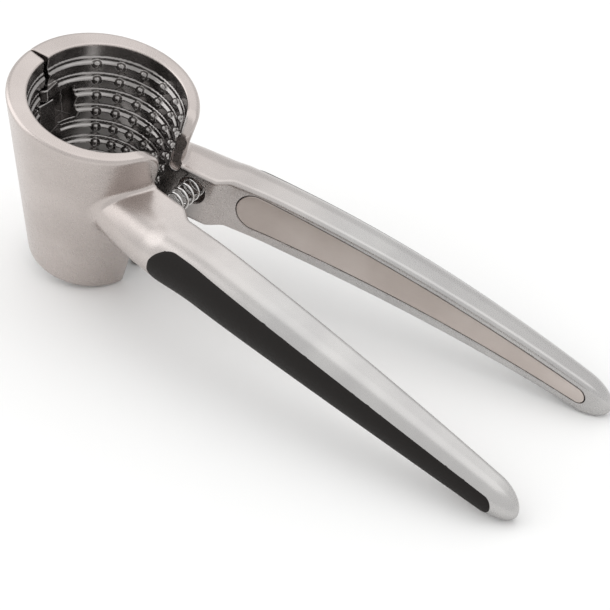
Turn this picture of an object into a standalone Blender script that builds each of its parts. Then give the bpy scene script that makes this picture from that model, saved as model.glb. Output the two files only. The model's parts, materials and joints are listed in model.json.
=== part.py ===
"""Cup nutcracker: two die-cast halves hinged on a pin, held open by a return spring.

Each half is a slice of a conical cup with a long handle. The halves are modelled closed, in the
cup's own frame (+Z along the cup, handles towards +X, split plane at Y = 0), and hang from a pivot
empty on the hinge pin that turns them open. The finished tool rests on the handle side of its base
and on both handle tips, which tilts the cup and stands the pin upright.
"""

import math

import bmesh
import bpy
from mathutils import Matrix

MM = 0.001

# Cup
CUP_HEIGHT = 57.8 * MM
RIM_RADIUS = 26.9 * MM
BASE_RADIUS = 17.0 * MM
BASE_SHIFT = 2.9 * MM  # the base stands this far nearer the handles than the rim
RIM_ROUND = 1.3 * MM
BASE_ROUND = 1.6 * MM
ARC_OVERLAP = 1.55 * MM  # the arcs' centres lie past the split plane, so the mouth is round when open
TURN_STEPS = 56

# Bore: a smooth band, then narrowing rings
BORE_RADIUS = 21.7 * MM
BORE_SHIFT = 1.4 * MM
BORE_FLOOR_RADIUS = 12.8 * MM
BAND_DEPTH = 4.9 * MM
RING_COUNT = 10
RING_PITCH = 5.16 * MM
RING_STEP = 0.8 * MM
LEDGE_DEPTH = 1.1 * MM

# Handle, in stations along the cup frame's X
ROOT_X = 8.0 * MM
SLOPE_X = 57.0 * MM
TIP_X = 163.0 * MM
DOME_LENGTH = 9.0 * MM
TOP_Z = 45.1 * MM
TOP_DROOP = 8.6 * MM
TOP_DIP = 1.5 * MM  # of the top, from SLOPE_X back to DIP_X
DIP_X = 30.0 * MM
ROOT_HEIGHT = 17.1 * MM
HEIGHT_LOSS = 7.0 * MM
INNER_OFFSET = 3.32 * MM
INNER_BOW = 3.0 * MM
BOW_CENTRE = 0.14
ROOT_WIDTH = 14.0 * MM
WIDTH_LOSS = 5.6 * MM
STEP_START = 35.8 * MM  # the boss ends here and the inner face steps outwards
STEP_LENGTH = 5.6 * MM
BULGE_X = 38.0 * MM
BULGE = 0.85 * MM  # the outer side swells by this much at BULGE_X, then tucks in to the cup
ROOT_TUCK = 5.4 * MM
FLAT_SHARE = 0.43  # of the width, flat on top before the outer side rounds over
INNER_CORNER = 1.5 * MM

# Split and hinge, in the pivot's frame
SPLIT_GAP = 0.15 * MM  # from each half to the split plane
OPEN_ANGLE = math.radians(7.0)
HINGE_GAP = 0.7 * MM  # the same at the hinge, where the halves swing past each other
PIN_CUP_X = -16.9 * MM
PIN_CUP_Z = 30.0 * MM
PIN_RADIUS = 1.5 * MM
PIN_HOLE_RADIUS = 1.8 * MM
PIN_LOW = 8.3 * MM
PIN_HIGH = 53.2 * MM
KNUCKLE_RADIUS = 3.0 * MM
KNUCKLE_FACE = 2.6 * MM
KNUCKLE_ROOT = 4.2 * MM
KNUCKLE_GAP = 0.35 * MM
TONGUE_LOW = 40.0 * MM
TONGUE_HIGH = 50.0 * MM
LUG_LOW = 8.0 * MM
LUG_HIGH = 54.2 * MM
NOTCH_WIDTH = 8.0 * MM
NOTCH_HEIGHT = 9.0 * MM
GROOVE_RADIUS = 1.6 * MM
GROOVE_DEPTH = 1.0 * MM
GROOVE_X = 23.9 * MM
GROOVE_FLOOR_Z = 41.2 * MM

# Spring and its pockets
SPRING_X = 30.4 * MM
SPRING_Z = 37.2 * MM
POCKET_RADIUS = 4.2 * MM
POCKET_DEPTH = 6.3 * MM
WIRE_RADIUS = 0.45 * MM
COIL_RADIUS = 2.95 * MM
SPRING_REACH = 10.8 * MM
SPRING_TURNS = 9.5
TURN_POINTS = 12

# Inlays
FIT_GAP = 0.3 * MM
GRIP_START = 40.2 * MM
GRIP_END = 157.0 * MM
GRIP_HEIGHT = 13.4 * MM
GRIP_END_HEIGHT = 5.8 * MM
GRIP_DEPTH = 4.3 * MM
GRIP_END_DEPTH = 2.2 * MM
GRIP_PROUD = 0.35 * MM
PLATE_START = 43.4 * MM
PLATE_END = 155.5 * MM
PLATE_MARGIN = 2.5 * MM
PLATE_RISE = 0.9 * MM  # at its start, above the middle of the handle
PLATE_DEPTH = 1.5 * MM
HOLLOW_DEPTH = 5.0 * MM
HOLLOW_MARGIN = 1.2 * MM

NEAR, FAR = -1, 1


# ---------------------------------------------------------------- scene and materials


def clear_scene():
    for item in list(bpy.data.objects):
        bpy.data.objects.remove(item, do_unlink=True)


def new_collection(name, hidden=False):
    collection = bpy.data.collections.new(name)
    collection.hide_render = hidden
    bpy.context.scene.collection.children.link(collection)
    return collection


def new_material(name, colour, roughness, metallic):
    material = bpy.data.materials.new(name)
    material.use_nodes = True
    shader = material.node_tree.nodes["Principled BSDF"]
    shader.inputs["Base Color"].default_value = (*colour, 1.0)
    shader.inputs["Roughness"].default_value = roughness
    shader.inputs["Metallic"].default_value = metallic
    return material


def new_object(name, mesh, collection, parent=None, material=None):
    item = bpy.data.objects.new(name, mesh)
    collection.objects.link(item)
    item.parent = parent
    if material:
        mesh.materials.append(material)
        mesh.shade_smooth()
        mesh.set_sharp_from_angle(angle=math.radians(35))
    return item


def new_cutter(name, mesh, parent):
    item = new_object(name, mesh, cutters, parent)
    item.hide_render = True
    item.display_type = "WIRE"
    return item


def boolean(target, tool, operation):
    modifier = target.modifiers.new(tool.name, "BOOLEAN")
    modifier.operation = operation
    modifier.solver = "EXACT"
    modifier.object = tool


# ---------------------------------------------------------------- shapes


def mesh_from(bm, name):
    bmesh.ops.recalc_face_normals(bm, faces=bm.faces)
    mesh = bpy.data.meshes.new(name)
    bm.to_mesh(mesh)
    bm.free()
    return mesh


def arc(centre_x, centre_y, radius_x, radius_y, start, end, steps):
    """Points on an ellipse from start to end, in degrees."""
    angles = [math.radians(start + (end - start) * i / steps) for i in range(steps + 1)]
    return [(centre_x + radius_x * math.cos(a), centre_y + radius_y * math.sin(a)) for a in angles]


def turned(name, profile, shift_top, shift_base, shift_y):
    """A Screw of the profile, sheared so that its axis leans from shift_base to shift_top."""
    mesh = bpy.data.meshes.new(name)
    edges = [(i, i + 1) for i in range(len(profile) - 1)]
    mesh.from_pydata([(x, 0, z) for x, z in profile], edges, [])
    source = bpy.data.objects.new(name, mesh)
    cutters.objects.link(source)
    screw = source.modifiers.new("Screw", "SCREW")
    screw.steps = TURN_STEPS
    screw.render_steps = TURN_STEPS
    screw.use_merge_vertices = True
    screw.merge_threshold = 0.00001
    graph = bpy.context.evaluated_depsgraph_get()
    solid = bpy.data.meshes.new_from_object(source.evaluated_get(graph))
    bpy.data.objects.remove(source)
    lean = Matrix.Shear("XY", 4, ((shift_top - shift_base) / CUP_HEIGHT, 0))
    solid.transform(Matrix.Translation((shift_base, shift_y, 0)) @ lean)
    return solid


def prism(name, outline, low, high, axis="Z"):
    """An outline of (u, v) points extruded from low to high along the axis."""
    place = {
        "X": lambda u, v, w: (w, u, v),
        "Y": lambda u, v, w: (u, w, v),
        "Z": lambda u, v, w: (u, v, w),
    }[axis]
    bm = bmesh.new()
    face = bm.faces.new([bm.verts.new(place(u, v, low)) for u, v in outline])
    grown = bmesh.ops.extrude_face_region(bm, geom=[face])["geom"]
    for vert in grown:
        if isinstance(vert, bmesh.types.BMVert):
            u, v = [c for c, letter in zip(vert.co, "XYZ") if letter != axis]
            vert.co = place(u, v, high)
    return mesh_from(bm, name)


def cylinder(name, radius, low, high, segments, bevel=0.0):
    """A round bar along Z with its end edges bevelled."""
    bm = bmesh.new()
    bmesh.ops.create_cone(
        bm, cap_ends=True, segments=segments, radius1=radius, radius2=radius, depth=high - low
    )
    bmesh.ops.translate(bm, verts=bm.verts, vec=(0, 0, (low + high) / 2))
    if bevel:
        rims = [e for e in bm.edges if abs(e.verts[0].co.z - e.verts[1].co.z) < bevel / 10]
        bmesh.ops.bevel(bm, geom=rims, offset=bevel, segments=2, profile=0.5, affect="EDGES")
    return mesh_from(bm, name)


def loft(name, sections):
    """Closed rings of equal length joined in order, with a cap at each end."""
    bm = bmesh.new()
    rings = [[bm.verts.new(point) for point in section] for section in sections]
    for first, second in zip(rings, rings[1:]):
        for i in range(len(first)):
            j = (i + 1) % len(first)
            bm.faces.new((first[i], first[j], second[j], second[i]))
    bm.faces.new(rings[0])
    bm.faces.new(rings[-1])
    return mesh_from(bm, name)


# ---------------------------------------------------------------- handle form


def along(x):
    """0 where the handle starts to taper, about 1 near its tip."""
    return max(0.0, (x - SLOPE_X) / (100 * MM))


def top_z(x):
    dip = min(1.0, max(0.0, (SLOPE_X - x) / (SLOPE_X - DIP_X)))
    return TOP_Z - TOP_DROOP * along(x) ** 2 - TOP_DIP * dip**2 * (3 - 2 * dip)


def section_height(x):
    return ROOT_HEIGHT - HEIGHT_LOSS * along(x) ** 1.3


def inner_y(x):
    """Distance of the inner face from the split plane: none at the boss, then an S-shaped step."""
    step = min(1.0, max(0.0, (x - STEP_START) / STEP_LENGTH))
    blend = step * step * (3 - 2 * step)
    return blend * (INNER_OFFSET - INNER_BOW * ((x - SLOPE_X) / (100 * MM) - BOW_CENTRE) ** 2)


def outer_y(x):
    reach = INNER_OFFSET - INNER_BOW * (along(x) - BOW_CENTRE) ** 2
    bulge = min(1.0, max(0.0, (SLOPE_X - x) / (SLOPE_X - BULGE_X)))
    tuck = max(0.0, (BULGE_X - x) / (BULGE_X - ROOT_X))
    shoulder = BULGE * bulge**2 * (3 - 2 * bulge) - ROOT_TUCK * tuck**2
    return reach + ROOT_WIDTH - WIDTH_LOSS * along(x) ** 1.7 + shoulder


def side_y(x, z):
    """The rounded outer side at a height z."""
    width = outer_y(x) - inner_y(x)
    level = (z - (top_z(x) - section_height(x) / 2)) / (section_height(x) / 2)
    return inner_y(x) + width * (FLAT_SHARE + (1 - FLAT_SHARE) * math.sqrt(max(0, 1 - level**2)))


def dome(x):
    """Shrinks the last stations into a rounded tip."""
    t = min(1.0, max(0.0, (x - (TIP_X - DOME_LENGTH)) / DOME_LENGTH))
    return math.sqrt(max(1 - t * t, 0.0009))


def handle_section(x, side):
    half = section_height(x) / 2
    middle = top_z(x) - half
    inner, width = inner_y(x), outer_y(x) - inner_y(x)
    corner = min(INNER_CORNER, half / 2)
    flat = width * FLAT_SHARE
    outline = arc(corner, corner - half, corner, corner, 270, 180, 3)
    outline += arc(corner, half - corner, corner, corner, 180, 90, 3)
    outline += arc(flat, 0, width - flat, half, 90, -90, 12)
    scale = dome(x)
    centre = width / 2
    return [
        (x, side * (inner + centre + (y - centre) * scale), middle + z * scale) for y, z in outline
    ]


def handle_stations():
    """Close together where the form turns: at the step and at the tip."""
    step = [STEP_START + STEP_LENGTH * i / 5 for i in range(6)]
    root = [ROOT_X + (STEP_START - ROOT_X) * i / 5 for i in range(5)]
    shank_start = STEP_START + STEP_LENGTH
    dome_start = TIP_X - DOME_LENGTH
    shank = [shank_start + (dome_start - shank_start) * i / 12 for i in range(1, 12)]
    tip = [dome_start + DOME_LENGTH * math.sin(math.radians(15 * i)) for i in range(7)]
    return root + step + shank + tip


def inlay_half_height(x, start, end, start_height, end_height):
    """Half the height of a long inlay that narrows from start to end and has round ends."""
    share = (x - start) / (end - start)
    half = (start_height + (end_height - start_height) * share) / 2
    from_start = min(1.0, (x - start) / (start_height / 2))
    from_end = min(1.0, (end - x) / (end_height / 2))
    ends = math.sqrt(max(0.0, 1 - (1 - from_start) ** 2)) * math.sqrt(max(0.0, 1 - (1 - from_end) ** 2))
    return max(half * ends, half * 0.12)


def inlay_stations(start, end, start_height, end_height, steps):
    """Stations crowded into both round ends."""
    turn = [1 - math.cos(math.radians(a)) for a in (0, 20, 40, 60, 90)]
    first = [start + start_height / 2 * t for t in turn]
    last = [end - end_height / 2 * t for t in reversed(turn)]
    gap = (last[0] - first[-1]) / steps
    return first + [first[-1] + gap * i for i in range(1, steps)] + last


# ---------------------------------------------------------------- where the tool rests


def resting_tilt():
    """Angle of the line under the base's round edge and the lowest stretch of the handle."""
    edge_x = BASE_SHIFT + BASE_RADIUS - BASE_ROUND
    angles = []
    for x in handle_stations():
        if x < SLOPE_X:
            continue
        for _, _, z in handle_section(x, FAR):
            run, rise = x - edge_x, z - BASE_ROUND
            angles.append(math.atan2(rise, run) + math.asin(BASE_ROUND / math.hypot(run, rise)))
    return min(angles)


TILT = resting_tilt()
EDGE_X = BASE_SHIFT + BASE_RADIUS - BASE_ROUND
CUP_LIFT = math.sin(TILT) * EDGE_X - math.cos(TILT) * BASE_ROUND + BASE_ROUND


def upright_x(cup_x, cup_z):
    """X in the resting frame, less the cup frame's own offset."""
    return math.cos(TILT) * cup_x + math.sin(TILT) * cup_z


def upright_z(cup_x, cup_z):
    return CUP_LIFT - math.sin(TILT) * cup_x + math.cos(TILT) * cup_z


PIN_X = upright_x(PIN_CUP_X, PIN_CUP_Z)


# ---------------------------------------------------------------- cutters and additions


def cup_profile():
    outline = [(0, CUP_HEIGHT)]
    outline += arc(
        RIM_RADIUS - RIM_ROUND, CUP_HEIGHT - RIM_ROUND, RIM_ROUND, RIM_ROUND, 90, -8, 4
    )
    outline += arc(BASE_RADIUS - BASE_ROUND, BASE_ROUND, BASE_ROUND, BASE_ROUND, -8, -90, 4)
    return outline + [(0, 0)]


def bore_profile():
    chamfer = 0.8 * MM
    outline = [(0, CUP_HEIGHT + 2 * MM), (BORE_RADIUS + 3 * chamfer, CUP_HEIGHT + 2 * MM)]
    outline += [(BORE_RADIUS + chamfer, CUP_HEIGHT), (BORE_RADIUS, CUP_HEIGHT - chamfer)]
    radius = BORE_RADIUS - 0.3 * MM
    for ring in range(RING_COUNT):
        z = CUP_HEIGHT - BAND_DEPTH - ring * RING_PITCH
        outline.append((radius, z))
        radius -= RING_STEP
        outline.append((radius, z - LEDGE_DEPTH))
    return outline + [(BORE_FLOOR_RADIUS, 0), (BORE_FLOOR_RADIUS, -2 * MM), (0, -2 * MM)]


def split_outline(side):
    """What lies beyond this half's faces: its closing face, and the face at the hinge."""
    inside = 8 * MM
    far_out = 40 * MM
    outline = [
        (-far_out, -far_out),
        (-far_out, HINGE_GAP),
        (inside, HINGE_GAP),
        (inside, SPLIT_GAP),
        (6 * far_out, SPLIT_GAP),
        (6 * far_out, -far_out),
    ]
    return [(x, side * y) for x, y in outline]


def knuckle_outline(side):
    """A barrel round the pin, flat towards the bore, that grows out of its own half."""
    flat = math.degrees(math.acos(KNUCKLE_FACE / KNUCKLE_RADIUS))
    outline = [(KNUCKLE_FACE, KNUCKLE_ROOT)]
    outline += arc(0, 0, KNUCKLE_RADIUS, KNUCKLE_RADIUS, -flat, -217, 14)
    outline += [(-2.4 * MM, KNUCKLE_ROOT)]
    return [(x, side * y) for x, y in outline]


def slot_outline(side):
    """Room for the other half's barrel, open towards the bore."""
    reach = KNUCKLE_RADIUS + KNUCKLE_GAP
    open_x = 9 * MM
    outline = [(open_x, -2 * reach), (open_x, reach)]
    outline += arc(0, 0, reach, reach, 90, 180, 6)
    outline += [(-reach, -2 * reach)]
    return [(x, side * y) for x, y in outline]


def notch_outline(side):
    """Rounds the rim's corner where the halves part above the handles."""
    top = CUP_HEIGHT + 2 * MM
    outline = [(-2 * MM, top), (-2 * MM, CUP_HEIGHT - NOTCH_HEIGHT)]
    outline += arc(NOTCH_WIDTH, CUP_HEIGHT - NOTCH_HEIGHT, NOTCH_WIDTH, NOTCH_HEIGHT, 180, 90, 8)
    outline += [(NOTCH_WIDTH, top)]
    return [(y * side, z) for y, z in outline]


def inlay_sections(xs, half_height, low, high, middle_z, side):
    """Plain sections from low(x) to high(x) in Y, for a recess."""
    sections = []
    for x in xs:
        half = half_height(x)
        middle = middle_z(x)
        corners = [(low(x), -half), (low(x), half), (high(x), half), (high(x), -half)]
        sections.append([(x, side * y, middle + z) for y, z in corners])
    return sections


def grip_half_height(x, spare=0.0):
    return (
        inlay_half_height(
            x, GRIP_START - spare, GRIP_END + spare, GRIP_HEIGHT + 2 * spare, GRIP_END_HEIGHT + 2 * spare
        )
    )


def grip_stations(spare=0.0):
    return inlay_stations(
        GRIP_START - spare, GRIP_END + spare, GRIP_HEIGHT + 2 * spare, GRIP_END_HEIGHT + 2 * spare, 12
    )


def mid_z(x):
    return top_z(x) - section_height(x) / 2


def grip_depth(x):
    share = (x - GRIP_START) / (GRIP_END - GRIP_START)
    return GRIP_DEPTH + (GRIP_END_DEPTH - GRIP_DEPTH) * share


def plate_z(x):
    return mid_z(x) + PLATE_RISE * (PLATE_END - x) / (PLATE_END - PLATE_START)


def plate_heights(margin):
    start = section_height(PLATE_START) - 2 * margin
    end = section_height(PLATE_END) - 2 * margin
    return start, end


def plate_half_height(x, margin, inset):
    start, end = plate_heights(margin)
    return inlay_half_height(x, PLATE_START + inset, PLATE_END - inset, start, end)


def plate_stations(margin, inset):
    start, end = plate_heights(margin)
    return inlay_stations(PLATE_START + inset, PLATE_END - inset, start, end, 10)


# ---------------------------------------------------------------- parts


def add_casting(name, side, pivot, material):
    """One half: its slice of the cup, its boss and handle, its knuckles, and all that is cut away."""
    overlap = -side * ARC_OVERLAP
    cup = turned(name, cup_profile(), 0, BASE_SHIFT, overlap)
    casting = new_object(name, cup, parts, pivot, material)
    casting.rotation_euler = (0, TILT, 0)
    casting.location = (-PIN_X, 0, CUP_LIFT)

    def cup_tool(tool_name, mesh):
        tool = new_cutter(f"{name}_{tool_name}", mesh, pivot)
        tool.rotation_euler = casting.rotation_euler
        tool.location = casting.location
        return tool

    def pivot_tool(tool_name, mesh):
        return new_cutter(f"{name}_{tool_name}", mesh, pivot)

    handle = loft("handle", [handle_section(x, side) for x in handle_stations()])
    boolean(casting, cup_tool("handle", handle), "UNION")
    bore = turned("bore", bore_profile(), BORE_SHIFT, BASE_SHIFT, overlap)
    boolean(casting, cup_tool("bore", bore), "DIFFERENCE")
    split = prism("split", split_outline(side), -20 * MM, 100 * MM)
    boolean(casting, pivot_tool("split", split), "DIFFERENCE")
    notch = prism("notch", notch_outline(side), 14 * MM, 34 * MM, "X")
    boolean(casting, cup_tool("notch", notch), "DIFFERENCE")

    lower = (LUG_LOW, TONGUE_LOW - KNUCKLE_GAP)
    tongue = (TONGUE_LOW, TONGUE_HIGH)
    upper = (TONGUE_HIGH + KNUCKLE_GAP, LUG_HIGH)
    if side == NEAR:
        barrels = [tongue]
        slots = [(-5 * MM, TONGUE_LOW), (TONGUE_HIGH, LUG_HIGH + KNUCKLE_GAP)]
    else:
        barrels = [lower, upper]
        slots = [(TONGUE_LOW - KNUCKLE_GAP, TONGUE_HIGH + KNUCKLE_GAP)]
    for i, (low, high) in enumerate(slots):
        slot = prism("slot", slot_outline(side), low, high)
        boolean(casting, pivot_tool(f"slot_{i}", slot), "DIFFERENCE")
    for i, (low, high) in enumerate(barrels):
        knuckle = prism("knuckle", knuckle_outline(side), low, high)
        boolean(casting, pivot_tool(f"knuckle_{i}", knuckle), "UNION")
    hole = cylinder("hole", PIN_HOLE_RADIUS, -5 * MM, PIN_HIGH + FIT_GAP, 24)
    boolean(casting, pivot_tool("pin_hole", hole), "DIFFERENCE")

    round_pocket = arc(SPRING_X, SPRING_Z, POCKET_RADIUS, POCKET_RADIUS, 0, 345, 23)
    pocket = prism("pocket", round_pocket, -side * 1 * MM, side * POCKET_DEPTH, "Y")
    boolean(casting, cup_tool("pocket", pocket), "DIFFERENCE")
    if side == FAR:
        groove_top = CUP_HEIGHT - NOTCH_HEIGHT / 2
        groove = arc(GROOVE_X, GROOVE_FLOOR_Z + GROOVE_RADIUS, GROOVE_RADIUS, GROOVE_RADIUS, 180, 360, 8)
        groove += [(GROOVE_X + GROOVE_RADIUS, groove_top), (GROOVE_X - GROOVE_RADIUS, groove_top)]
        cut = prism("groove", groove, -1 * MM, SPLIT_GAP + GROOVE_DEPTH, "Y")
        boolean(casting, cup_tool("groove", cut), "DIFFERENCE")

    recess = inlay_sections(
        grip_stations(FIT_GAP),
        lambda x: grip_half_height(x, FIT_GAP),
        lambda x: outer_y(x) - grip_depth(x),
        lambda x: outer_y(x) + 6 * MM,
        mid_z,
        side,
    )
    boolean(casting, cup_tool("grip_recess", loft("grip_recess", recess)), "DIFFERENCE")
    seat = inlay_sections(
        plate_stations(PLATE_MARGIN, 0),
        lambda x: plate_half_height(x, PLATE_MARGIN, 0),
        lambda x: inner_y(x) - 2 * MM,
        lambda x: inner_y(x) + PLATE_DEPTH,
        plate_z,
        side,
    )
    boolean(casting, cup_tool("plate_seat", loft("plate_seat", seat)), "DIFFERENCE")
    margin = PLATE_MARGIN + HOLLOW_MARGIN
    hollow = inlay_sections(
        plate_stations(margin, HOLLOW_MARGIN),
        lambda x: plate_half_height(x, margin, HOLLOW_MARGIN),
        lambda x: inner_y(x) + PLATE_DEPTH - 1 * MM,
        lambda x: inner_y(x) + min(HOLLOW_DEPTH, 0.5 * (outer_y(x) - inner_y(x))),
        plate_z,
        side,
    )
    boolean(casting, cup_tool("hollow", loft("hollow", hollow)), "DIFFERENCE")
    return casting


def place_in_half(item):
    item.rotation_euler = (0, TILT, 0)
    item.location = (-PIN_X, 0, CUP_LIFT)


def add_grip(name, side, pivot, material):
    """A rubber strip in the outer side, crowned like the casting and a little proud of it."""
    across = 8
    sections = []
    for x in grip_stations():
        half = grip_half_height(x)
        middle = mid_z(x)
        floor = outer_y(x) - grip_depth(x) + FIT_GAP
        heights = [half * (1 - 2 * i / across) for i in range(across + 1)]
        crown = [side_y(x, middle + z) + GRIP_PROUD * (1 - (z / half) ** 6) for z in heights]
        section = [(x, side * floor, middle - half), (x, side * floor, middle + half)]
        section += [(x, side * max(y, floor + 0.3 * MM), middle + z) for y, z in zip(crown, heights)]
        sections.append(section)
    place_in_half(new_object(name, loft(name, sections), parts, pivot, material))


def add_inner_plate(name, side, pivot, material):
    """A thin plate that closes the hollow of the handle, flush with its inner face."""
    margin = PLATE_MARGIN + FIT_GAP
    sections = inlay_sections(
        plate_stations(margin, FIT_GAP),
        lambda x: plate_half_height(x, margin, FIT_GAP),
        inner_y,
        lambda x: inner_y(x) + PLATE_DEPTH - FIT_GAP,
        plate_z,
        side,
    )
    place_in_half(new_object(name, loft(name, sections), parts, pivot, material))


def add_pin(name, pivot, material):
    pin = cylinder(name, PIN_RADIUS, PIN_LOW, PIN_HIGH, 24, 0.35 * MM)
    new_object(name, pin, parts, pivot, material)


def add_spring(name, parent, material):
    """A compression spring between the pockets, with its end turns closed up."""
    curve = bpy.data.curves.new(name, "CURVE")
    curve.dimensions = "3D"
    curve.bevel_depth = WIRE_RADIUS
    curve.bevel_resolution = 2
    curve.use_fill_caps = True
    line = curve.splines.new("POLY")
    count = round(SPRING_TURNS * TURN_POINTS)
    line.points.add(count)
    closed_share = 1.0 / SPRING_TURNS
    end_pitch = 2.1 * WIRE_RADIUS
    middle_reach = SPRING_REACH - end_pitch
    for i, point in enumerate(line.points):
        turn = i / TURN_POINTS
        share = i / count
        if share < closed_share:
            y = -SPRING_REACH + end_pitch * turn
        elif share > 1 - closed_share:
            y = SPRING_REACH - end_pitch * (SPRING_TURNS - turn)
        else:
            y = middle_reach * (2 * (share - closed_share) / (1 - 2 * closed_share) - 1)
        angle = 2 * math.pi * turn
        point.co = (COIL_RADIUS * math.cos(angle), y, COIL_RADIUS * math.sin(angle), 1)
    item = bpy.data.objects.new(name, curve)
    parts.objects.link(item)
    curve.materials.append(material)
    item.parent = parent
    reach = upright_x(SPRING_X, SPRING_Z) - PIN_X
    sag = POCKET_DEPTH * math.sin(OPEN_ANGLE) / 2
    item.location = (PIN_X + reach * math.cos(OPEN_ANGLE) - sag, 0, upright_z(SPRING_X, SPRING_Z))


def centre_on_origin(root):
    """Puts the world origin under the middle of the finished tool's box."""
    bpy.context.view_layer.update()
    graph = bpy.context.evaluated_depsgraph_get()
    points = []
    for item in parts.objects:
        if item.type == "EMPTY":
            continue
        evaluated = item.evaluated_get(graph)
        mesh = evaluated.to_mesh()
        points += [evaluated.matrix_world @ vert.co for vert in mesh.vertices]
        evaluated.to_mesh_clear()
    xs = [point.x for point in points]
    root.location = (-(min(xs) + max(xs)) / 2, 0, -min(point.z for point in points))


def add_empty(name, parent=None):
    empty = bpy.data.objects.new(name, None)
    empty.empty_display_size = 10 * MM
    parts.objects.link(empty)
    empty.parent = parent
    return empty


clear_scene()
parts = new_collection("nutcracker")
cutters = new_collection("cutters", hidden=True)

nickel = new_material("satin_nickel", (0.63, 0.59, 0.56), 0.34, 1.0)
plate_nickel = new_material("brushed_nickel", (0.52, 0.48, 0.45), 0.42, 1.0)
rubber = new_material("black_rubber", (0.022, 0.019, 0.018), 0.62, 0.0)
steel = new_material("pin_steel", (0.50, 0.50, 0.50), 0.28, 1.0)
spring_steel = new_material("spring_steel", (0.66, 0.65, 0.64), 0.22, 1.0)

frame = add_empty("nutcracker_frame")
for word, side in (("near", NEAR), ("far", FAR)):
    pivot = add_empty(f"{word}_pivot", frame)
    pivot.location = (PIN_X, 0, 0)
    pivot.rotation_euler = (0, 0, side * OPEN_ANGLE)
    add_casting(f"{word}_jaw", side, pivot, nickel)
    add_grip(f"{word}_grip", side, pivot, rubber)
    add_inner_plate(f"{word}_inner_plate", side, pivot, plate_nickel)
    if side == FAR:
        add_pin("hinge_pin", pivot, steel)
add_spring("return_spring", frame, spring_steel)
centre_on_origin(frame)
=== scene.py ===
import json
import math

import bpy
import numpy as np
from mathutils import Matrix, Vector


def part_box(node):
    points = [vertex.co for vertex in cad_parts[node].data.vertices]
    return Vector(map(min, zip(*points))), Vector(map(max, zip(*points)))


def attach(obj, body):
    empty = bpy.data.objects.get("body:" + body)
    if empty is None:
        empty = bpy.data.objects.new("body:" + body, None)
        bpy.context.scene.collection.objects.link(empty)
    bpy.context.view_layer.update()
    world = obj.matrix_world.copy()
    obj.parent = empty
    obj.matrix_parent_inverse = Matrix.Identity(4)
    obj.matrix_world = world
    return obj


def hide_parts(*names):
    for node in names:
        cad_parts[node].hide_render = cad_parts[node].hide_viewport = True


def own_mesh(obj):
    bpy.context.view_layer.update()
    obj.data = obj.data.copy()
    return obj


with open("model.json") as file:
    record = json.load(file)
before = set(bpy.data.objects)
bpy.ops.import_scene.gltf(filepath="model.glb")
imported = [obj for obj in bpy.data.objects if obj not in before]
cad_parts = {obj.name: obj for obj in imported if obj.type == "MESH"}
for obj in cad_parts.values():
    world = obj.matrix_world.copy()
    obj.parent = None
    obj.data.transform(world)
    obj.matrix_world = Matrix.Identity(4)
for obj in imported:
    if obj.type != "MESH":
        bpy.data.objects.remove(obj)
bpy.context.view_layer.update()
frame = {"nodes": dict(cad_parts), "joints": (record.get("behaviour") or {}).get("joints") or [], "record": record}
print("frame loaded:", ", ".join(sorted(frame["nodes"])))

# Shapes are worked out in millimetres in the frame of one closed half:
# x towards the handle tip, y out from the split plane, z up the cup.
# The fields of the cup, bore and handle are negative where there is metal,
# and close to the surface they give about the distance to it.
mm = 0.001
tiny = 1e-6


def roundMax(a, b, r):
    return np.minimum(np.maximum(a, b), -r) + np.hypot(np.maximum(a + r, 0), np.maximum(b + r, 0))


def roundMin(a, b, r):
    return -roundMax(-a, -b, r)


def smooth(t):
    t = np.clip(t, 0, 1)
    return t * t * (3 - 2 * t)


def between(value, start, end):
    return np.abs(value - (start + end) / 2) - (end - start) / 2


def at(curve, *place):
    # one of the curves below at a single place
    return float(curve(*map(np.float64, place)))


cup = {
    "height": 57.8,
    "rimRadius": 26.9,
    "baseRadius": 17.0,
    "baseShift": 2.9,     # the base stands this far nearer the handles than the rim
    "arcCentre": -1.55,   # the arcs' centres lie past the split plane
    "rimRound": 1.5,
    "baseRound": 1.6,
    "cornerWidth": 8.0,   # the rim's corner over the handles is rounded off
    "cornerHeight": 9.0,
    "cornerFrom": 14.0,
}


def cupField(x, y, z):
    height = cup["height"]
    share = z / height
    radius = cup["baseRadius"] + (cup["rimRadius"] - cup["baseRadius"]) * share
    lean = math.cos(math.atan2(cup["rimRadius"] - cup["baseRadius"], height))
    wall = (np.hypot(x - cup["baseShift"] * (1 - share), y - cup["arcCentre"]) - radius) * lean
    u = np.maximum(0, (cup["cornerWidth"] - y) / cup["cornerWidth"])
    v = np.maximum(0, (z - height + cup["cornerHeight"]) / cup["cornerHeight"])
    corner = (np.hypot(u, v) - 1) * cup["cornerWidth"]
    top = np.where(x > cup["cornerFrom"], corner, z - height)
    return roundMax(roundMax(wall, top, cup["rimRound"]), -z, cup["baseRound"])


bore = {
    "radius": 21.7,
    "rimShift": 1.4,
    "mouthRound": 0.55,
    "rings": 10,
    "pitch": 5.16,
    "upperDepth": 4.3,    # of the first ring's upper, smaller step
    "upperStep": 0.42,
    "upperLength": 0.45,
    "lowerDepth": 5.4,
    "lowerStep": 0.85,
    "lowerLength": 0.8,
    "undercut": 0.47,     # the wall between two rings leans back out by this much
}

knobs = {
    "depth": 6.45,        # of the first row below the rim
    "width": 1.35,
    "tall": 1.3,
    "proud": 1.15,
    "bedded": 0.2,        # the middle of a knob lies this far inside the wall
    "spacing": 19.6,      # degrees round the bore
    "middle": 90.1,
    "each": (-4, 2),      # columns either side of the middle one
    "drawnIn": 0.033,     # the columns close up by this share in each row down
    "blend": 0.3,
}


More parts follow.
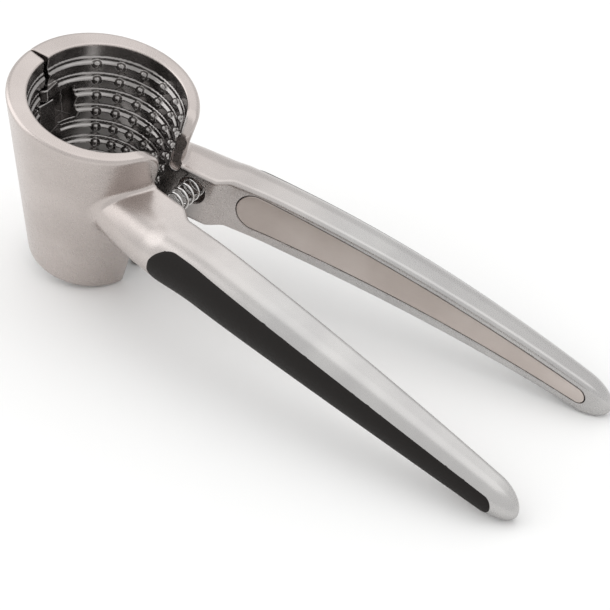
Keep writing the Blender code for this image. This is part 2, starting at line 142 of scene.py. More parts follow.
def boreRadius(z):
    depth = cup["height"] - z
    radius = bore["radius"] + 0 * z
    wallHeight = bore["pitch"] - bore["lowerDepth"] + bore["upperDepth"] - bore["lowerLength"]
    for ring in range(bore["rings"]):
        below = depth - ring * bore["pitch"]
        radius = radius - bore["upperStep"] * smooth((below - bore["upperDepth"]) / bore["upperLength"])
        radius = radius - bore["lowerStep"] * smooth((below - bore["lowerDepth"]) / bore["lowerLength"])
        lean = (below - bore["lowerDepth"] - bore["lowerLength"]) / wallHeight
        radius = radius + bore["undercut"] * np.clip(lean, 0, 1)
    return radius


def boreField(x, y, z):
    share = z / cup["height"]
    bx = x - (cup["baseShift"] + (bore["rimShift"] - cup["baseShift"]) * share)
    by = y - cup["arcCentre"]
    reach = np.hypot(bx, by)
    wall = boreRadius(z) - reach
    turn = np.degrees(np.arctan2(by, bx))
    row = np.clip(np.round((cup["height"] - z - knobs["depth"]) / bore["pitch"]), 0, bore["rings"] - 1)
    spacing = knobs["spacing"] * (1 - knobs["drawnIn"] * row)
    column = np.clip(np.round((turn - knobs["middle"]) / spacing), *knobs["each"])
    off = np.radians(turn - (knobs["middle"] + spacing * column))
    rowZ = cup["height"] - knobs["depth"] - row * bore["pitch"]
    steps = (row + 1) * (bore["upperStep"] + bore["lowerStep"])
    rowRadius = bore["radius"] - steps + row * bore["undercut"] + knobs["bedded"]
    q = np.sqrt(
        (reach * np.sin(off) / knobs["width"]) ** 2
        + ((z - rowZ) / knobs["tall"]) ** 2
        + ((reach * np.cos(off) - rowRadius) / knobs["proud"]) ** 2
    )
    return roundMin(wall, (q - 1) * knobs["tall"], knobs["blend"])


handle = {
    "rootX": 8.0,
    "slopeX": 57.0,
    "tipX": 163.0,
    "unit": 100.0,        # droop, bow and losses are for this length past slopeX
    "domeLength": 9.0,
    "domeLeast": 0.0009,  # keeps the end of the dome from shrinking to nothing
    "topZ": 45.1,
    "droop": 8.6,
    "dip": 1.5,
    "dipX": 30.0,
    "rootHeight": 17.1,
    "heightLoss": 7.0,
    "heightPower": 1.3,
    "innerOffset": 3.32,
    "bow": 3.0,
    "bowCentre": 0.14,
    "width": 14.0,
    "widthLoss": 5.6,
    "widthPower": 1.7,
    "stepStart": 35.8,
    "stepLength": 5.6,
    "bulgeX": 38.0,
    "bulge": 0.85,
    "tuck": 5.4,
    "flatShare": 0.43,
    "edgeRound": 1.5,
    "creaseRound": 1.7,
}


def pastSlope(x):
    return np.maximum(0, (x - handle["slopeX"]) / handle["unit"])


def topZ(x):
    dip = smooth((handle["slopeX"] - x) / (handle["slopeX"] - handle["dipX"]))
    return handle["topZ"] - handle["droop"] * pastSlope(x) ** 2 - handle["dip"] * dip


def sectionHeight(x):
    return handle["rootHeight"] - handle["heightLoss"] * pastSlope(x) ** handle["heightPower"]


def midZ(x):
    return topZ(x) - sectionHeight(x) / 2


def bowedOffset(along):
    return handle["innerOffset"] - handle["bow"] * (along - handle["bowCentre"]) ** 2


def innerY(x):
    step = smooth((x - handle["stepStart"]) / handle["stepLength"])
    return step * bowedOffset((x - handle["slopeX"]) / handle["unit"])


def outerY(x):
    bulge = smooth((handle["slopeX"] - x) / (handle["slopeX"] - handle["bulgeX"]))
    tuck = np.maximum(0, (handle["bulgeX"] - x) / (handle["bulgeX"] - handle["rootX"]))
    loss = handle["widthLoss"] * pastSlope(x) ** handle["widthPower"]
    straight = bowedOffset(pastSlope(x)) + handle["width"] - loss
    return straight + handle["bulge"] * bulge - handle["tuck"] * tuck**2


def sideY(x, z):
    width = outerY(x) - innerY(x)
    level = np.clip((z - midZ(x)) / (sectionHeight(x) / 2), -1, 1)
    return innerY(x) + width * (handle["flatShare"] + (1 - handle["flatShare"]) * np.sqrt(1 - level**2))


def domeScale(x):
    t = np.clip((x - (handle["tipX"] - handle["domeLength"])) / handle["domeLength"], 0, 1)
    return np.sqrt(np.maximum(1 - t * t, handle["domeLeast"]))


def handleField(x, y, z):
    scale = domeScale(x)
    inner, outer = innerY(x), outerY(x)
    half, middle, centre = sectionHeight(x) / 2, midZ(x), (inner + outer) / 2
    yy, zz = (y - centre) / scale + centre, (z - middle) / scale
    width = outer - inner
    reach = width * (1 - handle["flatShare"])
    out = np.maximum(0, yy - inner - width * handle["flatShare"]) / reach
    q = np.hypot(out, zz / half)
    side = (q - 1) * (reach * out**2 + half * (zz / half) ** 2) / np.maximum(q**2, tiny)
    field = roundMax(side, inner - yy, handle["edgeRound"]) * scale
    return np.maximum(np.maximum(field, x - handle["tipX"]), handle["rootX"] - x)


hinge = {
    "pinX": -16.9,
    "pinZ": 30.0,
    "openAngle": 7.0,
    "splitGap": 0.15,
    "hingeGap": 0.7,      # the faces by the pin are set back this far
    "gapUntil": 8.0,      # as far as this from the pin towards the handles
    "holeRadius": 1.62,
    "holeTop": 53.5,
    "holeRound": 0.15,
    "barrelRadius": 3.0,
    "barrelFace": 2.6,
    "barrelRoot": 4.2,
    "barrelRound": 0.45,
    "blockX": 0.1,        # the block that ties a barrel to its half
    "blockHalf": 2.5,
    "clearance": 0.35,
    "skin": 1.1,          # what is left of the wall behind the barrels' room
    "slotLow": -5.0,
    "slotSide": 5.9,      # more room beside the tongue, in the far half
    "slotEnd": 10.0,
    "tongueLow": 40.0,
    "tongueHigh": 50.0,
    "lugLow": 8.0,
    "lugHigh": 54.2,
    "edgeRound": 0.3,
}

# The tool stands on the cup's base edge and the handle tips, so the cup leans back.
joint = frame["joints"][0]
rimAxis = Vector(next(m["axis"] for m in frame["record"]["mounts"] if m["name"] == "cup_rim"))
tilt = math.acos(rimAxis.z / rimAxis.length)
edgeX = cup["baseShift"] + cup["baseRadius"] - cup["baseRound"]
lift = math.sin(tilt) * edgeX + (1 - math.cos(tilt)) * cup["baseRound"]
pinUpright = math.cos(tilt) * hinge["pinX"] + math.sin(tilt) * hinge["pinZ"]


def halfToRow(side):
    # side is -1 for the near half and 1 for the far one
    toPivot = Matrix.Translation((-pinUpright * mm, 0, lift * mm)) @ Matrix.Rotation(tilt, 4, "Y")
    swing = Matrix.Rotation(side * math.radians(hinge["openAngle"]), 4, "Z")
    return Matrix.Translation((joint["pos_m"][0], 0, 0)) @ swing @ toPivot @ Matrix.Diagonal((1, side, 1, 1))


def cutHinge(body, x, y, z, side):
    # the pivot's own frame stands upright
    px = math.cos(tilt) * x + math.sin(tilt) * z - pinUpright
    pz = lift - math.sin(tilt) * x + math.cos(tilt) * z
    face = np.where(px < hinge["gapUntil"], hinge["hingeGap"], hinge["splitGap"])
    body = roundMax(body, face - y, hinge["edgeRound"])

    reach = hinge["barrelRadius"] + hinge["clearance"]
    low, high, gap = hinge["tongueLow"], hinge["tongueHigh"], hinge["clearance"]
    spin = np.hypot(px, y)
    skin = cupField(x, y, z) + hinge["skin"]
    if side < 0:
        barrels = [(low, high)]
        slots = [(hinge["slotLow"], low), (high, hinge["lugHigh"] + gap)]
        slotY = reach
    else:
        barrels = [(hinge["lugLow"], low - gap), (high + gap, hinge["lugHigh"])]
        slots = [(low - gap, high + gap)]
        slotY = reach + hinge["slotSide"]
    for start, end in slots:
        pocket = np.maximum(np.maximum(y - slotY, -px), np.maximum(px - hinge["slotEnd"], skin))
        room = np.maximum(np.minimum(spin - reach, pocket), between(pz, start, end))
        body = roundMax(body, -room, hinge["edgeRound"])
    root = hinge["barrelRoot"] / 2
    for start, end in barrels:
        block = np.maximum(np.abs(px - hinge["blockX"]) - hinge["blockHalf"], np.abs(y - root) - root)
        barrel = np.maximum(np.minimum(spin - hinge["barrelRadius"], block), px - hinge["barrelFace"])
        body = np.minimum(body, roundMax(barrel, between(pz, start, end), hinge["barrelRound"]))
    hole = np.maximum(spin - hinge["holeRadius"], pz - hinge["holeTop"])
    return roundMax(body, -hole, hinge["holeRound"])


springSeat = {"x": 30.4, "z": 37.2, "radius": 4.2, "depth": 6.3, "edgeRound": 0.35}


def cutSpringSeat(body, x, y, z):
    seat = np.hypot(x - springSeat["x"], z - springSeat["z"]) - springSeat["radius"]
    return roundMax(body, -np.maximum(seat, y - springSeat["depth"]), springSeat["edgeRound"])


groove = {"x": 23.9, "radius": 1.6, "floorZ": 41.2, "depth": 1.0, "edgeRound": 0.3}


def cutGroove(body, x, y, z):
    rise = z - groove["floorZ"] - groove["radius"]
    trough = np.where(rise < 0, np.hypot(x - groove["x"], rise), np.abs(x - groove["x"])) - groove["radius"]
    trough = np.maximum(trough, y - hinge["splitGap"] - groove["depth"])
    return roundMax(body, -trough, groove["edgeRound"])


grip = {
    "start": 40.2,
    "end": 157.0,
    "height": 13.4,
    "endHeight": 5.8,
    "depth": 4.3,
    "endDepth": 2.2,
    "edgeDepth": 1.4,
    "proud": 0.35,
    "cover": 0.6,         # the rubber's edge lies this far over the rim of its recess
    "recessRound": 0.2,
    "edgeRound": 0.7,
    "underGap": 0.3,      # between the rubber and the floor of its recess
    "thinnest": 0.2,
    "across": 28,
    "stations": 90,
}

plate = {
    "start": 43.4,
    "end": 155.5,
    "margin": 2.5,
    "rise": 0.9,
    "depth": 1.5,
    "gap": 0.22,
    "edgeRound": 0.35,
    "mostRound": 0.9,     # of the half width, at the narrow ends
    "underGap": 0.3,
    "bevelSteps": 5,
    "stations": 70,
}


def inlayOutline(x, z, start, end, startHalf, endHalf, middle):
    # negative inside a long outline with round ends that narrows from start to end
    first, last = start + startHalf, end - endHalf
    share = np.clip((x - first) / (last - first), 0, 1)
    half = startHalf + (endHalf - startHalf) * share
    beyond = np.maximum(0, first - x) + np.maximum(0, x - last)
    return np.hypot(beyond, z - middle) - half


def gripDepth(x):
    share = np.clip((x - grip["start"]) / (grip["end"] - grip["start"]), 0, 1)
    return grip["depth"] + (grip["endDepth"] - grip["depth"]) * share


def plateZ(x):
    return midZ(x) + plate["rise"] * (plate["end"] - x) / (plate["end"] - plate["start"])


def plateHalf(x):
    return at(sectionHeight, x) / 2 - plate["margin"]


def cutInlays(body, x, y, z):
    startHalf, endHalf = grip["height"] / 2, grip["endHeight"] / 2
    outline = inlayOutline(x, z, grip["start"], grip["end"], startHalf, endHalf, midZ(x))
    floor = np.minimum(outerY(x) - gripDepth(x), sideY(x, z) - grip["edgeDepth"])
    body = roundMax(body, -np.maximum(outline + grip["cover"], floor - y), grip["recessRound"])
    start, end = plate["start"], plate["end"]
    outline = inlayOutline(x, z, start, end, plateHalf(start), plateHalf(end), plateZ(x))
    seat = np.maximum(outline, y - innerY(x) - plate["depth"])
    return roundMax(body, -seat, plate["edgeRound"])


def jawField(x, y, z, side):
    body = roundMin(cupField(x, y, z), handleField(x, y, z), handle["creaseRound"])
    body = roundMax(body, boreField(x, y, z), bore["mouthRound"])
    body = cutHinge(body, x, y, z, side)
    body = cutSpringSeat(body, x, y, z)
    if side > 0:
        body = cutGroove(body, x, y, z)
    return cutInlays(body, x, y, z)


# where painted shade darkens the castings: the bore, the room round the pin and the closing faces
paintedShadeAreas = {
    "boreReach": 0.9,     # into the metal behind the bore's wall
    "boreFade": 0.5,
    "rimBand": 0.4,       # left bright below the rim
    "rimFade": 0.6,
    "baseZ": 0.4,
    "boreEndX": 24.0,
    "pinX": -8.0,
    "pinY": 11.0,
    "pinZ": 55.0,
    "pinSkin": 0.8,
    "faceY": 0.6,
    "faceFade": 0.4,
    "faceFrom": 12.0,
    "faceEnd": 38.0,
    "faceEndFade": 9.0,
}


def paintedShadeShare(x, y, z):
    # 1 where painted shade darkens the casting and changes its roughness: in the bore,
    # round the pin, and on the closing faces as far as the spring
    area = paintedShadeAreas
    inBore = smooth((boreField(x, y, z) + area["boreReach"]) / area["boreFade"])
    inBore = inBore * smooth((cup["height"] - area["rimBand"] - z) / area["rimFade"])
    inBore = inBore * (z > area["baseZ"]) * (x < area["boreEndX"])
    byPin = (x < area["pinX"]) & (y < area["pinY"]) & (z < area["pinZ"])
    byPin = byPin & (cupField(x, y, z) < -area["pinSkin"])
    onFace = smooth((area["faceY"] - y) / area["faceFade"])
    onFace = onFace * smooth((area["faceEnd"] - x) / area["faceEndFade"]) * (x > area["faceFrom"])
    return np.maximum(np.maximum(inBore, byPin), onFace)


jawMesh = {
    "fine": 0.43,
    "quickFine": 0.6,
    "along": 0.98,        # cell length on the plain part of the handle
    "fineUntil": 56.0,
    "fineAgain": 150.0,
    "fromX": -28.2,
    "fromY": -4.03,
    "fromZ": -1.01,
    "pastTip": 1.2,
    "pastSide": 0.9,
    "pastTop": 1.6,
    "pulls": 4,           # times each point is pulled towards the surface
    "longestPull": 0.25,
    "leastSlope": 0.05,
    "slopeStep": 0.02,
    "normalStep": 0.05,
}


def gradient(field, points, step):
    slope = np.zeros_like(points)
    for axis in range(3):
        shift = np.zeros(3)
        shift[axis] = step
        slope[:, axis] = (field(*(points + shift).T) - field(*(points - shift).T)) / (2 * step)
    return slope


def crossings(values, cells, axes, corners):
    # the middle of the places where the surface cuts the edges of each cell
    total = np.zeros((len(cells), 3))
    hits = np.zeros(len(cells))
    cornerValues = {c: values[tuple((cells + c).T)] for c in corners}
    for axis in range(3):
        for c in corners:
            if c[axis]:
                continue
            d = tuple(o + (a == axis) for a, o in enumerate(c))
            va, vb = cornerValues[c], cornerValues[d]
            crosses = (va < 0) != (vb < 0)
            share = np.where(crosses, va / np.where(crosses, va - vb, 1), 0)
            for a in range(3):
                start = axes[a][cells[:, a] + c[a]]
                end = axes[a][cells[:, a] + d[a]]
                total[:, a] += np.where(crosses, start + (end - start) * share, 0)
            hits += crosses
    return total / hits[:, None]


def cellQuads(inside, index):
    # a face for each grid edge with one end inside, joining the four cells round it
    quads = []
    for axis in range(3):
        b, c = (axis + 1) % 3, (axis + 2) % 3
        here = [slice(1, -1)] * 3
        here[axis] = slice(0, -1)
        ahead = list(here)
        ahead[axis] = slice(1, None)
        first, second = inside[tuple(here)], inside[tuple(ahead)]
        for leaving in (True, False):
            spots = np.argwhere((first & ~second) if leaving else (~first & second))
            spots[:, b] += 1
            spots[:, c] += 1
            ring = []
            for ob, oc in ((-1, -1), (0, -1), (0, 0), (-1, 0)):
                cell = spots.copy()
                cell[:, b] += ob
                cell[:, c] += oc
                ring.append(index[tuple(cell.T)])
            quads.append(np.stack(ring if leaving else ring[::-1], 1))
    return np.concatenate(quads)


def surfaceOf(field, xs, ys, zs):
    # one point in each grid cell that the surface crosses, then pulled onto the surface
    values = field(*np.meshgrid(xs, ys, zs, indexing="ij"))
    inside = values < 0
    shape = tuple(n - 1 for n in values.shape)
    corners = [(i, j, k) for i in (0, 1) for j in (0, 1) for k in (0, 1)]
    count = np.zeros(shape, np.int8)
    for c in corners:
        count += inside[tuple(slice(o, o + n) for o, n in zip(c, shape))]
    active = (count > 0) & (count < len(corners))
    cells = np.argwhere(active)
    index = -np.ones(shape, np.int64)
    index[active] = np.arange(len(cells))
    points = crossings(values, cells, (xs, ys, zs), corners)
    quads = cellQuads(inside, index)
    for _ in range(jawMesh["pulls"]):
        slope = gradient(field, points, jawMesh["slopeStep"])
        f = field(*points.T)
        move = -(f / np.maximum((slope**2).sum(1), jawMesh["leastSlope"]))[:, None] * slope
        size = np.linalg.norm(move, axis=1, keepdims=True)
        points = points + move * np.minimum(1, jawMesh["longestPull"] / np.maximum(size, tiny))
    normals = gradient(field, points, jawMesh["normalStep"])
    normals /= np.maximum(np.linalg.norm(normals, axis=1, keepdims=True), tiny)
    return points, quads, normals


def addPiece(name, points, faces, matrix, material, body, node, normals=None, shade=None):
    rows = np.array(matrix)
    placed = (points * mm) @ rows[:3, :3].T + rows[:3, 3]
    if matrix.determinant() < 0:
        faces = [list(f)[::-1] for f in faces]
    mesh = bpy.data.meshes.new(name)
    mesh.from_pydata(placed.tolist(), [], [list(map(int, f)) for f in faces])
    mesh.update()
    mesh.shade_smooth()
    if normals is not None:
        mesh.normals_split_custom_set_from_vertices((normals @ rows[:3, :3].T).tolist())
    mesh.materials.append(material)
    if shade is not None:
        mesh.attributes.new("shade", "FLOAT", "POINT").data.foreach_set("value", shade.astype(np.float32))
    piece = bpy.data.objects.new(name, mesh)
    bpy.context.scene.collection.objects.link(piece)
    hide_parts(node)
    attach(piece, body)
    return piece


noiseDetail = {"tone": 3.0, "grain": 4.0, "rubber": 5.0}


def newMaterial(name):
    material = bpy.data.materials.new(name)
    material.use_nodes = True
    nodes, links = material.node_tree.nodes, material.node_tree.links
    return material, nodes, links, nodes["Principled BSDF"]


def noiseNode(nodes, links, scale, detail, stretch=(1, 1, 1)):
    coordinates = nodes.new("ShaderNodeTexCoord")
    mapping = nodes.new("ShaderNodeMapping")
    mapping.inputs["Scale"].default_value = stretch
    noise = nodes.new("ShaderNodeTexNoise")
    noise.inputs["Scale"].default_value = scale
    noise.inputs["Detail"].default_value = detail
    links.new(coordinates.outputs["Object"], mapping.inputs["Vector"])
    links.new(mapping.outputs["Vector"], noise.inputs["Vector"])
    return noise.outputs["Fac"]


def rampFrom(nodes, links, source, low, high, start=0.35, end=0.65):
    ramp = nodes.new("ShaderNodeValToRGB")
    for element, place, value in zip(ramp.color_ramp.elements, (start, end), (low, high)):
        element.position = place
        element.color = (*value, 1) if isinstance(value, tuple) else (value, value, value, 1)
    links.new(source, ramp.inputs["Fac"])
    return ramp.outputs["Color"]


def mixColour(nodes, links, factor, first, second):
    mix = nodes.new("ShaderNodeMix")
    mix.data_type = "RGBA"
    links.new(factor, mix.inputs["Factor"])
    links.new(first, mix.inputs["A"])
    links.new(second, mix.inputs["B"])
    return mix.outputs["Result"]


def addBump(nodes, links, shader, height, look):
    bump = nodes.new("ShaderNodeBump")
    bump.inputs["Strength"].default_value = look["bump"]
    bump.inputs["Distance"].default_value = look["bumpHeight"]
    links.new(height, bump.inputs["Height"])
    links.new(bump.outputs["Normal"], shader.inputs["Normal"])


def metalMaterial(name, look, paintedShadeLook=None):
    material, nodes, links, shader = newMaterial(name)
    shader.inputs["Metallic"].default_value = 1.0
    tone = noiseNode(nodes, links, look["toneScale"], noiseDetail["tone"])
    colour = rampFrom(nodes, links, tone, look["dark"], look["light"])
    grain = noiseNode(nodes, links, look["grainScale"], noiseDetail["grain"], look["stretch"])
    rough = rampFrom(nodes, links, grain, look["smooth"], look["rough"])
    if "tipTint" in look:  # the plating looks more neutral towards the tips
        coordinates = nodes.new("ShaderNodeTexCoord")
        split = nodes.new("ShaderNodeSeparateXYZ")
        links.new(coordinates.outputs["Object"], split.inputs["Vector"])
        along = nodes.new("ShaderNodeMapRange")
        along.inputs["From Min"].default_value, along.inputs["From Max"].default_value = look["tintFrom"]
        links.new(split.outputs["X"], along.inputs["Value"])
        tint = rampFrom(nodes, links, tone, *look["tipTint"])
        colour = mixColour(nodes, links, along.outputs["Result"], colour, tint)
    # painted shade: where the shade attribute is high the colour goes to the darker colours, and the roughness to
    # their own range
    if paintedShadeLook:
        shade = nodes.new("ShaderNodeAttribute")
        shade.attribute_name = "shade"
        dark = rampFrom(nodes, links, tone, paintedShadeLook["dark"], paintedShadeLook["light"])
        colour = mixColour(nodes, links, shade.outputs["Fac"], colour, dark)
        inner = rampFrom(nodes, links, grain, paintedShadeLook["smooth"], paintedShadeLook["rough"])
        rough = mixColour(nodes, links, shade.outputs["Fac"], rough, inner)
    links.new(colour, shader.inputs["Base Color"])
    links.new(rough, shader.inputs["Roughness"])
    addBump(nodes, links, shader, grain, look)
    return material


def rubberMaterial(name, look):
    material, nodes, links, shader = newMaterial(name)
    shader.inputs["Specular IOR Level"].default_value = look["shine"]
    grain = noiseNode(nodes, links, look["grainScale"], noiseDetail["rubber"])
    links.new(rampFrom(nodes, links, grain, look["dark"], look["light"]), shader.inputs["Base Color"])
    links.new(rampFrom(nodes, links, grain, look["smooth"], look["rough"]), shader.inputs["Roughness"])
    addBump(nodes, links, shader, grain, look)
    return material


castLook = {
    "dark": (0.50, 0.452, 0.43),
    "light": (0.56, 0.508, 0.485),
    "tipTint": ((0.49, 0.48, 0.475), (0.55, 0.54, 0.53)),
    "tintFrom": (-0.045, 0.01),
    "toneScale": 60.0,
    "grainScale": 2600.0,
    "stretch": (1, 1, 1),
    "smooth": 0.25,
    "rough": 0.33,
    "bump": 0.09,
    "bumpHeight": 0.0001,
}
# painted shade colours for the bore, the pin's room and the closing faces, with their own smoother roughness
shadedBoreLook = {"dark": (0.27, 0.258, 0.25), "light": (0.37, 0.353, 0.345), "smooth": 0.15, "rough": 0.22}
castNickel = metalMaterial("satinNickelCasting", castLook, shadedBoreLook)


def addJaw(name, node, side, body):
    fine = jawMesh["fine"]
    xs = np.concatenate([
        np.arange(jawMesh["fromX"], jawMesh["fineUntil"], fine),
        np.arange(jawMesh["fineUntil"], jawMesh["fineAgain"], jawMesh["along"]),
        np.arange(jawMesh["fineAgain"], handle["tipX"] + jawMesh["pastTip"], fine),
    ])
    ys = np.arange(jawMesh["fromY"], cup["rimRadius"] + jawMesh["pastSide"], fine)
    zs = np.arange(jawMesh["fromZ"], cup["height"] + jawMesh["pastTop"], fine)
    points, quads, normals = surfaceOf(lambda x, y, z: jawField(x, y, z, side), xs, ys, zs)
    # how much painted shade each point of the casting gets
    shade = paintedShadeShare(*points.T)
    addPiece(name, points, quads, halfToRow(side), castNickel, body, node, normals, shade)
    print(name, "surface:", 2 * len(quads), "triangles")


addJaw("nearJawCasting", "near_jaw", -1, "near_half")
addJaw("farJawCasting", "far_jaw", 1, "far_half")


def tubeFaces(rings, around, outward=True):
    # quads between rings that follow each other, and a cap on both ends
    faces = []
    for i in range(rings - 1):
        for j in range(around):
            a, b = i * around + j, i * around + (j + 1) % around
            quad = (a, b, b + around, a + around)
            faces.append(quad if outward else (a, a + around, b + around, b))
    first = tuple(range(around))
    last = tuple((rings - 1) * around + j for j in range(around))
    return faces + ([first[::-1], last] if outward else [first, last[::-1]])


def stripLoft(xs, section):
    rings = [section(x) for x in xs]
    points = np.array([p for ring in rings for p in ring])
    return points, tubeFaces(len(rings), len(rings[0]))


inlayEnds = {"firstTurn": 3, "lastTurn": 90, "rings": 22, "leastSquare": 0.0004}


def inlayXs(start, end, startHalf, endHalf, stations):
    # closer together round the two ends
    turns = np.linspace(inlayEnds["firstTurn"], inlayEnds["lastTurn"], inlayEnds["rings"])
    turn = [1 - math.cos(math.radians(a)) for a in turns]
    first = [start + startHalf * t for t in turn]
    last = [end - endHalf * t for t in turn[::-1]]
    middle = list(np.linspace(first[-1], last[0], stations))[1:-1]
    return first + middle + last


def inlayHalf(x, start, end, startHalf, endHalf):
    first, last = start + startHalf, end - endHalf
    share = min(1, max(0, (x - first) / (last - first)))
    half = startHalf + (endHalf - startHalf) * share
    beyond = max(0, first - x) + max(0, x - last)
    return math.sqrt(max(half * half - beyond * beyond, inlayEnds["leastSquare"]))


rubberLook = {
    "dark": (0.005, 0.0036, 0.0028),
    "light": (0.0095, 0.0072, 0.006),
    "shine": 0.25,
    "grainScale": 1500.0,
    "smooth": 0.52,
    "rough": 0.66,
    "bump": 0.25,
    "bumpHeight": 0.00025,
}
gripRubber = rubberMaterial("mouldedGripRubber", rubberLook)


def addGrip(name, node, side, body):
    startHalf, endHalf = grip["height"] / 2, grip["endHeight"] / 2

    def section(x):
        half = inlayHalf(x, grip["start"], grip["end"], startHalf, endHalf)
        middle = at(midZ, x)
        floor = float(outerY(np.float64(x)) - gripDepth(x)) + grip["underGap"]
        floor = min(floor, at(sideY, x, middle + half) - grip["edgeDepth"] + grip["underGap"])
        edge = min(grip["edgeRound"], half)
        ring = [(x, floor, middle - half), (x, floor, middle + half)]
        endDrop = max(0.0, 1 - min(x - grip["start"], grip["end"] - x) / grip["edgeRound"])
        for i in range(grip["across"] + 1):
            offset = half * math.cos(math.pi * i / grip["across"])
            inset = max(0.0, 1 - (half - abs(offset)) / edge, endDrop)
            drop = grip["edgeRound"] * (1 - math.sqrt(max(0, 1 - inset * inset)))
            y = at(sideY, x, middle + offset) + grip["proud"] - drop
            ring.append((x, max(y, floor + grip["thinnest"]), middle + offset))
        return ring

    xs = inlayXs(grip["start"], grip["end"], startHalf, endHalf, grip["stations"])
    points, faces = stripLoft(xs, section)
    addPiece(name, points, faces, halfToRow(side), gripRubber, body, node)


plateLook = {
    "dark": (0.515, 0.455, 0.42),
    "light": (0.60, 0.54, 0.505),
    "toneScale": 40.0,
    "grainScale": 900.0,
    "stretch": (0.25, 4, 4),
    "smooth": 0.34,
    "rough": 0.44,
    "bump": 0.2,
    "bumpHeight": 0.0001,
}
plateNickel = metalMaterial("brushedPlateNickel", plateLook)


def addPlate(name, node, side, body):
    start, end = plate["start"] + plate["gap"], plate["end"] - plate["gap"]
    startHalf = plateHalf(plate["start"]) - plate["gap"]
    endHalf = plateHalf(plate["end"]) - plate["gap"]
    steps = plate["bevelSteps"]

    def section(x):
        half = inlayHalf(x, start, end, startHalf, endHalf)
        middle, face = at(plateZ, x), at(innerY, x)
        back = face + plate["depth"] - plate["underGap"]
        radius = min(plate["edgeRound"], half * plate["mostRound"])
        ring = [(x, back, middle + half), (x, back, middle - half)]
        for i in range(steps + 1):
            a = math.pi / 2 * i / steps
            z = middle - half + radius * (1 - math.cos(a))
            ring.append((x, face + radius * (1 - math.sin(a)), z))
        for i in range(steps + 1):
            a = math.pi / 2 * (1 - i / steps)
            z = middle + half - radius * (1 - math.cos(a))
            ring.append((x, face + radius * (1 - math.sin(a)), z))
        return ring

    points, faces = stripLoft(inlayXs(start, end, startHalf, endHalf, plate["stations"]), section)
    addPiece(name, points, faces, halfToRow(side), plateNickel, body, node)


for word, side in (("near", -1), ("far", 1)):
    addGrip(f"{word}GripRubber", f"{word}_grip", side, f"{word}_half")
    addPlate(f"{word}InnerPanel", f"{word}_inner_plate", side, f"{word}_half")
print("grips and inner plates done")

spring = {
    "wire": 0.45,
    "coil": 2.95,
    "reach": 10.8,
    "turns": 9.5,
    "closedTurns": 1.0,   # lying flat at each end
    "endPitch": 2.1,      # wire radii from one closed turn to the next
    "perTurn": 40,
    "sides": 14,
}
springLook = {
    "dark": (0.62, 0.61, 0.60),
    "light": (0.72, 0.71, 0.70),
    "toneScale": 300.0,
    "grainScale": 3000.0,
    "stretch": (1, 1, 1),
    "smooth": 0.12,
    "rough": 0.2,
    "bump": 0.05,
    "bumpHeight": 0.00005,
}
springSteel = metalMaterial("drawnSpringWire", springLook)

pin = {"radius": 1.5, "low": 8.3, "high": 53.2, "chamfer": 0.35, "turns": (0, 30, 60, 90), "around": 48}
pinLook = dict(springLook, dark=(0.48, 0.48, 0.48), light=(0.55, 0.55, 0.54), smooth=0.2, rough=0.32)
pinSteel = metalMaterial("groundPinSteel", pinLook)


def addPin():
    r, c, around = pin["radius"], pin["chamfer"], pin["around"]
    profile = []
    for end, inward, turns in ((pin["low"], 1, pin["turns"]), (pin["high"], -1, pin["turns"][::-1])):
        for t in map(math.radians, turns):
            profile.append((r - c + c * math.sin(t), end + inward * c * (1 - math.cos(t))))
    points = []
    for p, z in profile:
        for j in range(around):
            a = 2 * math.pi * j / around
            points.append((p * math.cos(a), p * math.sin(a), z))
    faces = tubeFaces(len(profile), around)
    place = Matrix.Translation((joint["pos_m"][0], 0, 0))
    addPiece("hingePinSteel", np.array(points), faces, place, pinSteel, "far_half", "hinge_pin")


def springLine():
    # the middle of the wire, from the near end along y to the far one
    coil, reach, turns, closed = (spring[k] for k in ("coil", "reach", "turns", "closedTurns"))
    endPitch = spring["endPitch"] * spring["wire"]
    count = round(turns * spring["perTurn"])
    openHalf = turns / 2 - closed
    line = []
    for i in range(count + 1):
        turn = turns * i / count
        fromEnd = min(turn, turns - turn)
        along = endPitch * min(fromEnd, closed)
        along += max(0.0, fromEnd - closed) / openHalf * (reach - endPitch * closed)
        y = -reach + along if turn < turns / 2 else reach - along
        angle = 2 * math.pi * turn
        line.append((coil * math.cos(angle), y, coil * math.sin(angle)))
    return np.array(line)


def addSpring():
    line = springLine()
    tangent = np.gradient(line, axis=0)
    tangent /= np.linalg.norm(tangent, axis=1, keepdims=True)
    outward = line * (1, 0, 1)
    outward /= np.linalg.norm(outward, axis=1, keepdims=True)
    cross = np.cross(tangent, outward)
    points = []
    for p, u, v in zip(line, outward, cross):
        for j in range(spring["sides"]):
            a = 2 * math.pi * j / spring["sides"]
            points.append(p + spring["wire"] * (math.cos(a) * u + math.sin(a) * v))
    faces = tubeFaces(len(line), spring["sides"], outward=False)
    low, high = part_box("return_spring")
    centre = (low + high) / 2
    place = Matrix.Translation(centre)
    piece = addPiece(
        "returnSpringWire", np.array(points), faces, place, springSteel,
        "near_half", "return_spring",
    )
    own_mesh(piece)


addPin()
addSpring()
print("pin and spring done")

studio = {
    "floorSize": 6.0,
    "floorColour": (0.93, 0.93, 0.925),
    "floorRough": 0.9,
    "skyColour": (1.0, 1.0, 1.0),
    "skyStrength": 0.9,
    "aim": (0, 0, 0.02),
}

softboxes = {
    "leftSoftbox": {"place": (-1.1, -0.35, 0.75), "size": (1.3, 1.5), "power": 5.6},
    "overheadSoftbox": {"place": (0.15, 0.45, 1.5), "size": (2.2, 1.4), "power": 4.6},
}


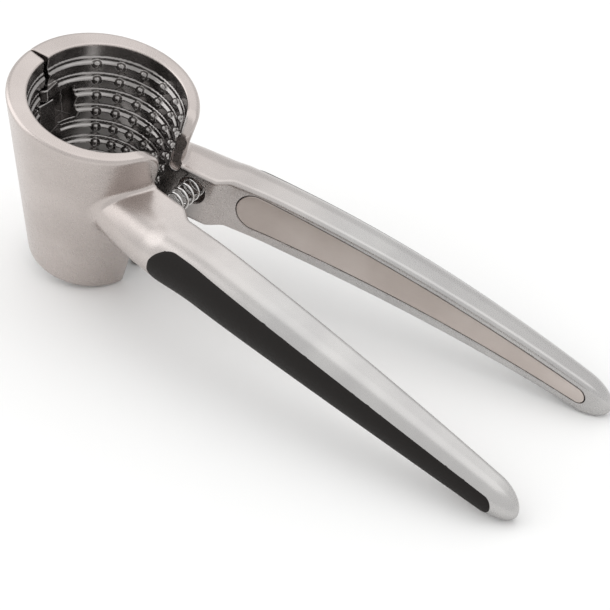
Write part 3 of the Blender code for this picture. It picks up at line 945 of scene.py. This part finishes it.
def addFloor():
    half = studio["floorSize"] / 2
    mesh = bpy.data.meshes.new("studioFloor")
    corners = [(-half, -half, 0), (half, -half, 0), (half, half, 0), (-half, half, 0)]
    mesh.from_pydata(corners, [], [(0, 1, 2, 3)])
    material, _, _, shader = newMaterial("paleFloor")
    shader.inputs["Base Color"].default_value = (*studio["floorColour"], 1)
    shader.inputs["Roughness"].default_value = studio["floorRough"]
    mesh.materials.append(material)
    floor = bpy.data.objects.new("studioFloor", mesh)
    bpy.context.scene.collection.objects.link(floor)


def addLight(name, box):
    data = bpy.data.lights.new(name, "AREA")
    data.shape = "RECTANGLE"
    data.size, data.size_y = box["size"]
    data.energy = box["power"]
    light = bpy.data.objects.new(name, data)
    light.location = box["place"]
    light.rotation_euler = (Vector(studio["aim"]) - Vector(box["place"])).to_track_quat("-Z", "Y").to_euler()
    bpy.context.scene.collection.objects.link(light)


def addWorld():
    world = bpy.data.worlds.new("studioWorld")
    bpy.context.scene.world = world
    world.use_nodes = True
    background = world.node_tree.nodes["Background"]
    background.inputs["Color"].default_value = (*studio["skyColour"], 1)
    background.inputs["Strength"].default_value = studio["skyStrength"]


camera = {
    "azimuth": 32.48,
    "elevation": 39.01,
    "roll": 1.92,
    "distance": 0.7063,
    "target": (0.00758, -0.00336, 0.020),
    "lens": 151.02885,
    "sensor": 36,
    "nearest": 0.01,
}


def addCamera():
    az, el, roll = (math.radians(camera[k]) for k in ("azimuth", "elevation", "roll"))
    back = Vector((math.sin(az) * math.cos(el), -math.cos(az) * math.cos(el), math.sin(el)))
    level = Vector((math.cos(az), math.sin(az), 0))
    upright = back.cross(level)
    right = level * math.cos(roll) + upright * math.sin(roll)
    up = upright * math.cos(roll) - level * math.sin(roll)
    place = Vector(camera["target"]) + back * camera["distance"]
    data = bpy.data.cameras.new("camera")
    data.sensor_width = camera["sensor"]
    data.lens = camera["lens"]
    data.clip_start = camera["nearest"]
    item = bpy.data.objects.new("camera", data)
    item.matrix_world = Matrix.Translation(place) @ Matrix((right, up, back)).transposed().to_4x4()
    bpy.context.scene.collection.objects.link(item)
    bpy.context.scene.camera = item


addFloor()
addWorld()
for name, box in softboxes.items():
    addLight(name, box)
addCamera()
bpy.context.scene.view_settings.view_transform = "Standard"
print("studio and camera done")
